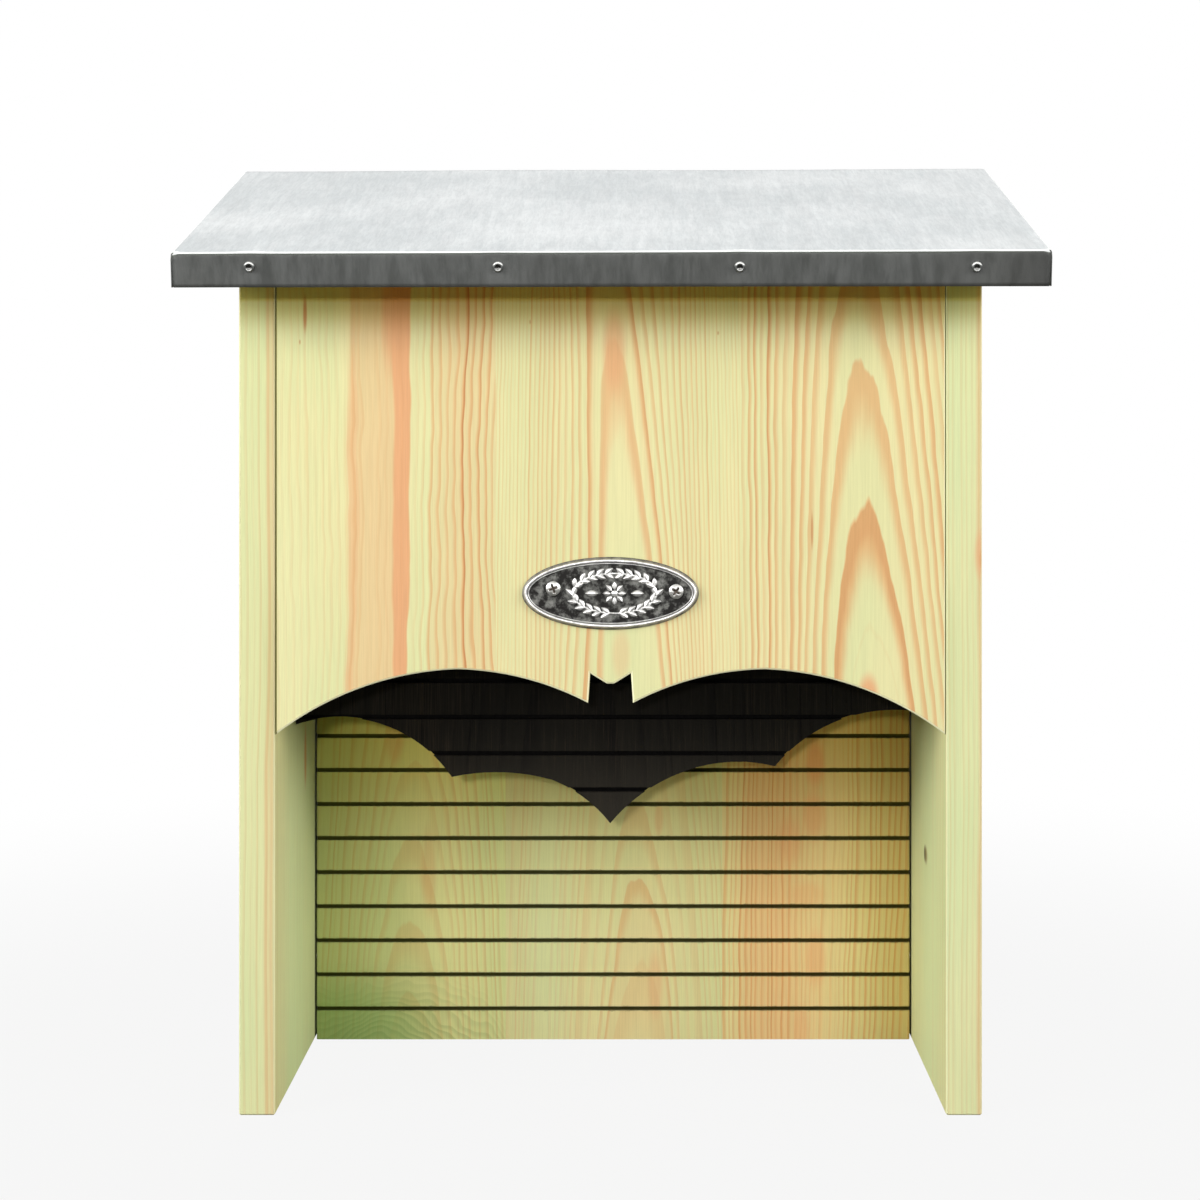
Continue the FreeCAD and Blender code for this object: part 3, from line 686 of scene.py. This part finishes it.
points, faces, worn = plate_surface()
plate = mesh_piece("oval_plate", points, faces, material, worn=worn)
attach(plate, "root")
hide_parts("nameplate")


# Roof board
# The pine board that carries the metal. Only its underside and its back edge show.

dress("roof_board", pine(
    "roof_pine", "YZX", (-60, -300), lean=0.03, ring=3.7, seed=3.9, waver=8,
    lines=[(60, 0.4), (90, 0.6), (130, 0.4), (180, 0.5)], tints=[(60, 0.1), (120, 0.3), (180, 0.1)],
))


# Roof sheet
# Galvanised sheet folded down over the front and both sides of the roof board. The folds are rounded,
# the two front corners stay open, and the raw back edge and the flat field wander a little.

SLOPE = math.radians(17.5)
_, SHEET_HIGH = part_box("roof_sheet")
FOLD = 1.4 * MM
FLANGE = 15.2 * MM
SHEET = 0.7 * MM
ROOF_HALF = SHEET_HIGH.x
# where the field would end in front if the fold were sharp
ROOF_FRONT_Y = -88.5 * MM
ROOF_BACK_Y = SHEET_HIGH.y
ROOF_FRONT_Z = SHEET_HIGH.z - (ROOF_BACK_Y - ROOF_FRONT_Y) * math.tan(SLOPE)
PIN_DROP = 5.1 * MM
PINS_APART = 8 * MM
# how far this hand-folded sheet strays from a true one
FIELD_WAVE = 0.35 * MM
SIDE_LEAN = 0.45 * MM
SIDE_WAVE = 0.3 * MM
FRONT_WAVE = 0.35 * MM
CORNER_REACH = 0.9 * MM
LEFT_SPREAD = 0.2 * MM
RIGHT_SPREAD = 1.4 * MM
RIGHT_LIFT = 1.3 * MM
SIDE_DENT = 0.5 * MM
FRONT_DENT = 0.55 * MM
DENT_REACH = 7 * MM


def on_roof(points):
    """Turns points drawn on a level roof (x, along the slope, up) to the sloping roof."""
    x, y, z = points[..., 0], points[..., 1], points[..., 2]
    turned_y = y * math.cos(SLOPE) - z * math.sin(SLOPE) + ROOF_FRONT_Y
    turned_z = y * math.sin(SLOPE) + z * math.cos(SLOPE) + ROOF_FRONT_Z
    return np.stack([x, turned_y, turned_z], -1)


def pin_middles(node):
    """The middle of each loose part of a fastener node, found from its clusters along the node's row."""
    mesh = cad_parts[node].data
    co = np.empty(len(mesh.vertices) * 3)
    mesh.vertices.foreach_get("co", co)
    co = co.reshape(-1, 3)
    axis = int(np.argmax(np.ptp(co, axis=0)))
    order = np.argsort(co[:, axis])
    cuts = np.flatnonzero(np.diff(co[order, axis]) > PINS_APART) + 1
    return [co[part].min(0) / 2 + co[part].max(0) / 2 for part in np.split(order, cuts)]


def wander(a, b, seed):
    """A slow unevenness of hand-folded sheet, between -1 and 1: the mean of five long waves."""
    rng = np.random.default_rng(seed)
    total = np.zeros_like(a)
    for _ in range(5):
        ka, kb, phase = rng.uniform(8, 32), rng.uniform(8, 32), rng.uniform(0, 2 * math.pi)
        total += np.sin(ka * a + kb * b * rng.choice([-1, 1]) + phase)
    return total / 5


def spread(x):
    """How much further out the flanges stand towards the two ends, more so at the right."""
    return np.where(x > 0, RIGHT_SPREAD, LEFT_SPREAD) * np.clip(np.abs(x) / ROOF_HALF, 0, 1) ** 8


def dent(far):
    """The hollow that a driven pin leaves, as a share of its depth."""
    return np.exp(-(far / DENT_REACH) ** 2)


def settle(x, up):
    """How much higher the sheet lies towards its right end, where it doesn't quite meet the board."""
    return RIGHT_LIFT * (x + ROOF_HALF) / (2 * ROOF_HALF) * (1 + 0.5 * up / FLANGE)


def fold_section(turn_steps=7, flange_steps=8):
    """(out, up) points from the start of a fold to the flange's lower edge."""
    turn = np.linspace(0, math.pi / 2, turn_steps)
    arc = np.stack([FOLD * np.sin(turn) - FOLD, FOLD * np.cos(turn) - FOLD], -1)
    drop = np.linspace(-FOLD, -FLANGE, flange_steps + 1)[1:]
    return np.concatenate([arc, np.stack([np.zeros(flange_steps), drop], -1)])


def grid_faces(index):
    """The faces of a grid whose points have these numbers."""
    corners = index[:-1, :-1], index[:-1, 1:], index[1:, 1:], index[1:, :-1]
    return np.stack(corners, -1).reshape(-1, 4)


def roof_sheet_mesh(columns=150, rows=70):
    """Two grids that share the front fold's start.

    The first runs from one side flange over the field to the other, row by row up the slope. The second
    runs from the field's front edge round the fold and down the front flange.
    """
    section = fold_section()
    flat_x = np.linspace(-ROOF_HALF + FOLD, ROOF_HALF - FOLD, columns)
    right = np.stack([section[1:, 0] + ROOF_HALF, section[1:, 1]], -1)
    left = right[::-1] * [-1, 1]
    profile = np.concatenate([left, np.stack([flat_x, np.zeros(columns)], -1), right])
    v = np.linspace(0, 1, rows)[:, None]
    x = np.broadcast_to(profile[:, 0], (rows, len(profile))).copy()
    up = np.broadcast_to(profile[:, 1], (rows, len(profile))).copy()
    # every point's run up the slope ends at the wall plane
    end = (ROOF_BACK_Y - ROOF_FRONT_Y + profile[:, 1] * math.sin(SLOPE)) / math.cos(SLOPE)
    start = np.where(up < -FOLD, 0.4 * MM, FOLD)
    along = start + v * (end - start)
    flat = np.clip(1 + up / FOLD, 0, 1)
    up += flat * FIELD_WAVE * (wander(x, along, 4) - 1) * np.clip(along / (20 * MM), 0, 1)
    skirt = np.clip(-up / FLANGE, 0, 1)
    x += np.sign(x) * skirt * (SIDE_LEAN + SIDE_WAVE * wander(along, up, 6))
    x += spread(x)
    for middle in pin_middles("sheet_pins_left") + pin_middles("sheet_pins_right"):
        drawn = middle - np.array([0, ROOF_FRONT_Y, ROOF_FRONT_Z])
        run = drawn[1] * math.cos(SLOPE) + drawn[2] * math.sin(SLOPE)
        same = np.sign(x) == np.sign(middle[0])
        far = np.hypot(along - run, up + PIN_DROP)
        x -= np.where(same & (skirt > 0.05), np.sign(x) * SIDE_DENT * dent(far), 0)
    top = on_roof(np.stack([x, along, up + settle(x, up)], -1))
    reach = 1 + np.clip(-section[:, 1:] / FOLD, 0, 1) * CORNER_REACH / ROOF_HALF
    front_x = flat_x * reach
    front_x += spread(front_x)
    front_out = np.broadcast_to(section[:, :1], (len(section), columns)).copy()
    front_up = np.broadcast_to(section[:, 1:], (len(section), columns)).copy()
    skirt = np.clip(-front_up / FLANGE, 0, 1)
    front_out += skirt * FRONT_WAVE * (wander(front_x, front_up, 9) - 0.6)
    for middle in pin_middles("sheet_pins_front"):
        far = np.hypot(front_x - middle[0], front_up + PIN_DROP)
        front_out -= FRONT_DENT * dent(far)
    front = on_roof(np.stack([front_x, -front_out, front_up + settle(front_x, front_up)], -1))
    points = np.concatenate([top.reshape(-1, 3), front[1:].reshape(-1, 3)])
    top_index = np.arange(rows * len(profile)).reshape(rows, -1)
    front_index = top_index.size + np.arange((len(section) - 1) * columns).reshape(-1, columns)
    # the front flange's first row is the field's own front edge
    edge = len(left) + np.arange(columns)
    front_faces = grid_faces(np.concatenate([edge[None], front_index]))[:, [0, 3, 2, 1]]
    return points, grid_faces(top_index).tolist() + front_faces.tolist()


def drawn_out(place, fineness, detail, rough):
    """A noise drawn out along the ways where its fineness, per mm, is small."""
    return noise(scaled(place, fineness), 1.0, detail, rough)[0]


material, tree, shader = principled("galvanised_sheet")
spot = place_in_mm(tree)
patches = noise(spot, 0.012, 4.0, 0.6)[0]
streaks = drawn_out(spot, (0.22, 0.02, 0.05), 5.0, 0.65)
brushed = drawn_out(spot, (0.32, 0.035, 0.035), 4.0, 0.6)
scratched = drawn_out(spot, (0.8, 0.11, 0.11), 5.0, 0.75)
flake = split(feed("TexVoronoi", {"Vector": spot, "Scale": 0.16})["Color"])
tilt = facing(tree)[2]
# painted shade: the flanks, which face forward and down, are coloured dark; they also darken towards the
# right end
flank = mix_colours(smooth_step(streaks, 0.3, 0.7), (0.115, 0.12, 0.115, 1), (0.155, 0.16, 0.155, 1))
flank = mix_colours(smooth_step(patches, 0.35, 0.65, 0.0, 0.4), flank, (0.085, 0.085, 0.08, 1))
mottle = times_plus(brushed, 0.35, times(patches, 0.65))
field = mix_colours(smooth_step(mottle, 0.36, 0.64), (0.64, 0.67, 0.675, 1), (0.79, 0.81, 0.81, 1))
field = mix_colours(smooth_step(scratched, 0.4, 0.62), field, (0.9, 0.905, 0.905, 1), "MULTIPLY")
field = mix_colours(times(flake[0], 0.12), field, (0.5, 0.51, 0.51, 1))
# painted shade: a dark line on the folds just below their bright band
crease_shade = times(smooth_step(tilt, -0.25, 0.05), smooth_step(tilt, 0.45, 0.15))
flank = mix_colours(crease_shade, flank, (0.05, 0.055, 0.045, 1))
right_end = smooth_step(split(spot)[0], 158.0, 186.0, 0.0, 0.45)
flank = mix_colours(right_end, flank, (0.05, 0.05, 0.048, 1))
# painted light and shade: the sheet is pale where it faces up and dark where it faces forward or down
sheet_colour = mix_colours(smooth_step(tilt, 0.15, 0.85), flank, field)
# painted highlight: a bright band along the folds, where they turn from the field down to the flanges
wear_and_highlight = times(smooth_step(tilt, 0.3, 0.6), smooth_step(tilt, 0.95, 0.88))
sheet_colour = mix_colours(wear_and_highlight, sheet_colour, (0.95, 0.97, 0.94, 1))
dull = times_plus(flake[1], 0.04, smooth_step(streaks, 0.3, 0.7, 0.40, 0.54))
finish(shader, sheet_colour, dull, plus(streaks, times(patches, 2.0)), 0.12, metallic=0.6)

points, faces = roof_sheet_mesh()
roof = mesh_piece("folded_roof_sheet", points, faces, material)
solid = roof.modifiers.new("thickness", "SOLIDIFY")
solid.thickness = SHEET
solid.offset = -1
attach(roof, "root")
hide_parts("roof_sheet")


# Pins of the roof sheet
# Small domed pins with a round hollow in the head, driven through the flanges into the roof board.
# Their spacing is by eye.


def closed_rings(count, spokes):
    """The faces of rings of points, and of fans to the two points after them, which close both ends."""
    i, j = np.meshgrid(np.arange(count - 1), np.arange(spokes), indexing="ij")
    a, b = i * spokes + j, i * spokes + (j + 1) % spokes
    quads = np.stack([b, a, a + spokes, b + spokes], -1).reshape(-1, 4)
    spoke = np.arange(spokes)
    after = (spoke + 1) % spokes
    last, end = (count - 1) * spokes, np.full(spokes, count * spokes)
    first_fan = np.stack([spoke, after, end], -1)
    last_fan = np.stack([last + after, last + spoke, end + 1], -1)
    return quads.tolist() + first_fan.tolist() + last_fan.tolist()


def lathe(profile, middle, direction, spokes):
    """Turns (radius, distance) points about a line through middle: rings of one circle each.

    Returns points and faces; the first and last points of the profile lie on the line.
    """
    direction = np.asarray(direction, float) / np.linalg.norm(direction)
    helper = np.array([0.0, 0.0, 1.0]) if abs(direction[2]) < 0.9 else np.array([1.0, 0.0, 0.0])
    side = np.cross(helper, direction)
    side /= np.linalg.norm(side)
    other = np.cross(direction, side)
    profile = np.asarray(profile, float)
    angle = np.linspace(0, 2 * math.pi, spokes, endpoint=False)
    round_way = np.cos(angle)[:, None] * side + np.sin(angle)[:, None] * other
    rings = middle + profile[1:-1, None, :1] * round_way[None] + profile[1:-1, None, 1:] * direction
    ends = middle + profile[[0, -1], 1:] * direction
    points = np.concatenate([rings.reshape(-1, 3), ends])
    return points, [face[::-1] for face in closed_rings(len(profile) - 2, spokes)]


def joined(parts):
    """Several (points, faces) as one."""
    points, faces, start = [], [], 0
    for own_points, own_faces in parts:
        points.append(own_points)
        faces += [[corner + start for corner in face] for face in own_faces]
        start += len(own_points)
    return np.concatenate(points), faces


PIN_PROFILE = [
    (0, 0.6), (0.5, 0.56), (0.85, 0.36), (1.08, -0.1), (1.22, -0.58), (1.36, -0.9), (1.55, -1.06),
    (1.8, -0.98), (2.04, -0.72), (2.24, -0.36), (2.34, 0.0), (1.1, 0.02), (1.1, 9.0), (0, 12.7),
]
PIN_HOLLOW = 1.3
PIN_SPOKES = 40
PIN_RISE = 1.3 * MM
PIN_LENGTH = 15.3 * MM
PIN_SUNK = 0.35 * MM

material, tree, shader = principled("pin_steel_painted_light")
scratched = noise(place_in_mm(tree), 1.4, 4.0, 0.6)[0]
# painted shade: the hollow in each head is near black
dull = mix_colours(mask_of(tree, "hollow"), (0.13, 0.135, 0.13, 1), (0.012, 0.012, 0.01, 1))
# painted light and shade: the steel is bright where it faces up and dark where it faces forward or down
steel = mix_colours(smooth_step(facing(tree)[2], 0.05, 0.4), dull, (0.95, 0.95, 0.92, 1))
rough = smooth_step(scratched, 0.3, 0.7, 0.34, 0.5)
finish(shader, steel, rough, scratched, 0.04, metallic=0.6)
PIN_STEEL = material


def pin_parts(node, direction, sunk):
    """The pins of one node and how deep in the hollow their points lie.

    Each is placed by its head: sunk is how far the head goes into the flange of the solid part.
    """
    profile = np.array(PIN_PROFILE) * MM
    inside = (profile[:, 0] < PIN_HOLLOW * MM) & (profile[:, 1] < 1 * MM)
    own = np.concatenate([np.repeat(inside[1:-1], PIN_SPOKES), inside[[0, -1]]])
    parts, hollows = [], []
    for middle in pin_middles(node):
        head = middle - direction * (PIN_LENGTH / 2 - PIN_RISE)
        parts.append(lathe(profile, head + direction * sunk, direction, PIN_SPOKES))
        hollows.append(own)
    return *joined(parts), np.concatenate(hollows)


UP_SLOPE = np.array([0, math.cos(SLOPE), math.sin(SLOPE)])
# the hand-folded sheet stands out further at its right end, and its pins with it
for node, direction, sunk in (
    ("sheet_pins_front", UP_SLOPE, PIN_SUNK),
    ("sheet_pins_left", np.array([1.0, 0, 0]), PIN_SUNK),
    ("sheet_pins_right", np.array([-1.0, 0, 0]), PIN_SUNK + LEFT_SPREAD - RIGHT_SPREAD),
):
    points, faces, deep = pin_parts(node, direction, sunk)
    piece = mesh_piece(node + "_turned", points, faces, PIN_STEEL, hollow=deep)
    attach(piece, "root")
    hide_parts(node)


# Wood screws
# Countersunk, zinc-plated, with a cross recess: through the sides into the three cross boards, through
# the roof board, and through the hanger.


def bright_steel(name, colour, rough, fineness):
    """Plated steel, a little uneven in colour and shine."""
    material, tree, shader = principled(name)
    cloud = noise(place_in_mm(tree), fineness, 4.0, 0.6)[0]
    dull = (*(0.6 * part for part in colour[:3]), 1)
    colour = mix_colours(smooth_step(cloud, 0.35, 0.75), colour, dull)
    rough = smooth_step(cloud, 0.3, 0.7, rough, rough + 0.15)
    finish(shader, colour, rough, cloud, 0.04, metallic=1.0)
    return material, tree, shader


SCREW_STEEL = bright_steel("zinc_screw_steel", (0.50, 0.48, 0.41, 1), 0.3, 1.1)[0]
for node in ("front_board_screws", "partition_screws", "back_board_screws", "roof_board_screws"):
    dress(node, SCREW_STEEL)

# the two round-head screws of the oval plate
HEAD_RADIUS = 3.2 * MM
HEAD_HEIGHT = 1.7 * MM
HEAD_SEAT = 0.05 * MM


def cross_head(middle, direction, turn, rings=44, spokes=96):
    """A screw's head with a cross recess, from its seat at middle, facing against direction.

    The dome falls from its height in the middle to a third of it at the rim, about as the square of the
    radius. The recess is cut where a point is near either arm of the cross, and gets shallower outwards.
    """
    direction = np.asarray(direction, float)
    side = np.cross([0.0, 0.0, 1.0], direction)
    other = np.cross(direction, side)
    r = np.linspace(0.02, 1, rings)[:, None] * np.ones(spokes)
    angle = np.linspace(0, 2 * math.pi, spokes, endpoint=False)[None] * np.ones((rings, 1))
    u, v = r * np.cos(angle + turn), r * np.sin(angle + turn)
    arm_half, arm_length = 0.13, 0.62
    off_arm = np.minimum(np.abs(u), np.abs(v))
    cut = 1 / (1 + np.exp((off_arm - arm_half) / 0.022)) / (1 + np.exp((r - arm_length) / 0.03))
    rise = HEAD_HEIGHT * (1 - 0.66 * r ** 2.2 - cut * (0.85 - 0.4 * r))
    flat = HEAD_RADIUS * r
    points = middle + (flat * np.cos(angle))[..., None] * side + (flat * np.sin(angle))[..., None] * other
    points = (points - rise[..., None] * direction).reshape(-1, 3)
    seat = points[-spokes:] + (rise[-1, 0] + HEAD_SEAT) * direction
    ends = [middle - rise[0, 0] * direction, middle + HEAD_SEAT * direction]
    return np.concatenate([points, seat, ends]), closed_rings(rings + 1, spokes), cut.ravel()


material, tree, shader = bright_steel("plate_screw_steel", (0.80, 0.79, 0.76, 1), 0.25, 0.6)
plain = shader.inputs["Base Color"].links[0].from_socket
# the cross recess is darker brown
darker_recess = mix_colours(mask_of(tree, "recess"), plain, (0.09, 0.07, 0.055, 1))
wire(shader.inputs["Base Color"], darker_recess)
parts, cuts = [], []
for middle, turn in zip(pin_middles("nameplate_screws"), (0.35, 0.95)):
    seat = np.array([middle[0], PLATE_BACK - PLATE_STAND + FIELD_DEPTH, middle[2]])
    points, faces, cut = cross_head(seat, (0, 1.0, 0), turn)
    parts.append((points, faces))
    cuts += [cut, np.zeros(len(points) - len(cut))]
points, faces = joined(parts)
heads = mesh_piece("plate_screw_heads", points, faces, material, recess=np.concatenate(cuts))
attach(heads, "root")
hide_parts("nameplate_screws")


# Hanger
# A galvanised plate with a keyhole, let in flush at the top of the back board.

dress("hanger_plate_screws", SCREW_STEEL)
dress("hanger_plate", bright_steel("hanger_galvanised", (0.36, 0.37, 0.37, 1), 0.42, 0.12)[0])


# Floor, light and camera
# A pale floor that fades into the white behind, soft lights in front, at both sides, above and behind, a
# small flash by the camera for the photograph's shadows, and the photograph's view.

floor_half = 6.0
floor_points = floor_half * np.array([[-1, -1, 0], [1, -1, 0], [1, 1, 0], [-1, 1, 0]])
material, tree, shader = principled("pale_floor")
wire(shader.inputs["Base Color"], (0.2, 0.2, 0.19, 1))
wire(shader.inputs["Roughness"], 0.9)
across, through, _ = split(place_in_mm(tree))
away = smooth_step(distance(across, through), 250.0, 900.0, 0.9, 1.0)
seen = tree.nodes.new("ShaderNodeLightPath").outputs["Is Camera Ray"]
glow = tree.nodes.new("ShaderNodeEmission").outputs[0]
blend = feed("MixShader", {0: times(away, seen), 1: shader.outputs[0], 2: glow})[0]
wire(tree.nodes["Material Output"].inputs["Surface"], blend)
floor = mesh_piece("floor", floor_points, [[0, 1, 2, 3]], material, smooth=False)

world = bpy.data.worlds.new("studio")
bpy.context.scene.world = world
world.use_nodes = True
tree = world.node_tree
path = tree.nodes.new("ShaderNodeLightPath").outputs
seen = calc("MAXIMUM", path["Is Camera Ray"], path["Is Glossy Ray"])
background = tree.nodes["Background"].inputs
wire(background["Color"], (1, 1, 1, 1))
wire(background["Strength"], smooth_step(seen, 0.0, 1.0, 0.03, 1.0, "LINEAR"))


def soft_light(name, place, target, size, power):
    """A rectangular lamp of a size in metres, turned towards its target."""
    lamp = bpy.data.lights.new(name, "AREA")
    lamp.shape = "RECTANGLE"
    lamp.size, lamp.size_y = size
    lamp.energy = power
    light = bpy.data.objects.new(name, lamp)
    bpy.context.scene.collection.objects.link(light)
    way = np.array(target, float) - np.array(place, float)
    yaw = math.atan2(-way[0], way[1])
    pitch = math.atan2(way[2], math.hypot(way[0], way[1]))
    light.location = place
    light.rotation_euler = (math.pi / 2 + pitch, 0, yaw)


soft_light("front_light", (0.0, -1.5, 0.93), (0, 0, 0.36), (2.4, 0.95), 7.9)
soft_light("left_light", (-1.75, -1.0, 0.95), (0.1, 0, 0.3), (1.3, 0.9), 37)
soft_light("right_light", (1.75, -1.0, 0.95), (-0.1, 0, 0.3), (1.3, 0.9), 29)
soft_light("flash", (-0.1, -1.7, 0.49), (0, 0, 0.3), (0.06, 0.06), 5.6)
soft_light("top_light", (0.0, 0.1, 2.2), (0, 0.05, 0.4), (1.4, 1.4), 4.5)
soft_light("back_light", (0.5, 1.9, 0.42), (0, 0, 0.22), (1.8, 0.8), 18)

FRAME_PX = 1200
FOCAL_PX = 2174
VANISHING_PX = (634.4, 426.5)
CAMERA_PLACE = (0.01062, -1.01269, 0.3059)
camera_data = bpy.data.cameras.new("photo_view")
camera_data.sensor_width = 36
camera_data.lens = FOCAL_PX / FRAME_PX * camera_data.sensor_width
camera_data.shift_x = (FRAME_PX / 2 - VANISHING_PX[0]) / FRAME_PX
camera_data.shift_y = (VANISHING_PX[1] - FRAME_PX / 2) / FRAME_PX
camera_data.clip_start = 0.01
camera = bpy.data.objects.new("photo_view", camera_data)
camera.location = CAMERA_PLACE
camera.rotation_euler = (math.pi / 2, 0, 0)
bpy.context.scene.collection.objects.link(camera)
bpy.context.scene.camera = camera
bpy.context.scene.view_settings.view_transform = "Standard"
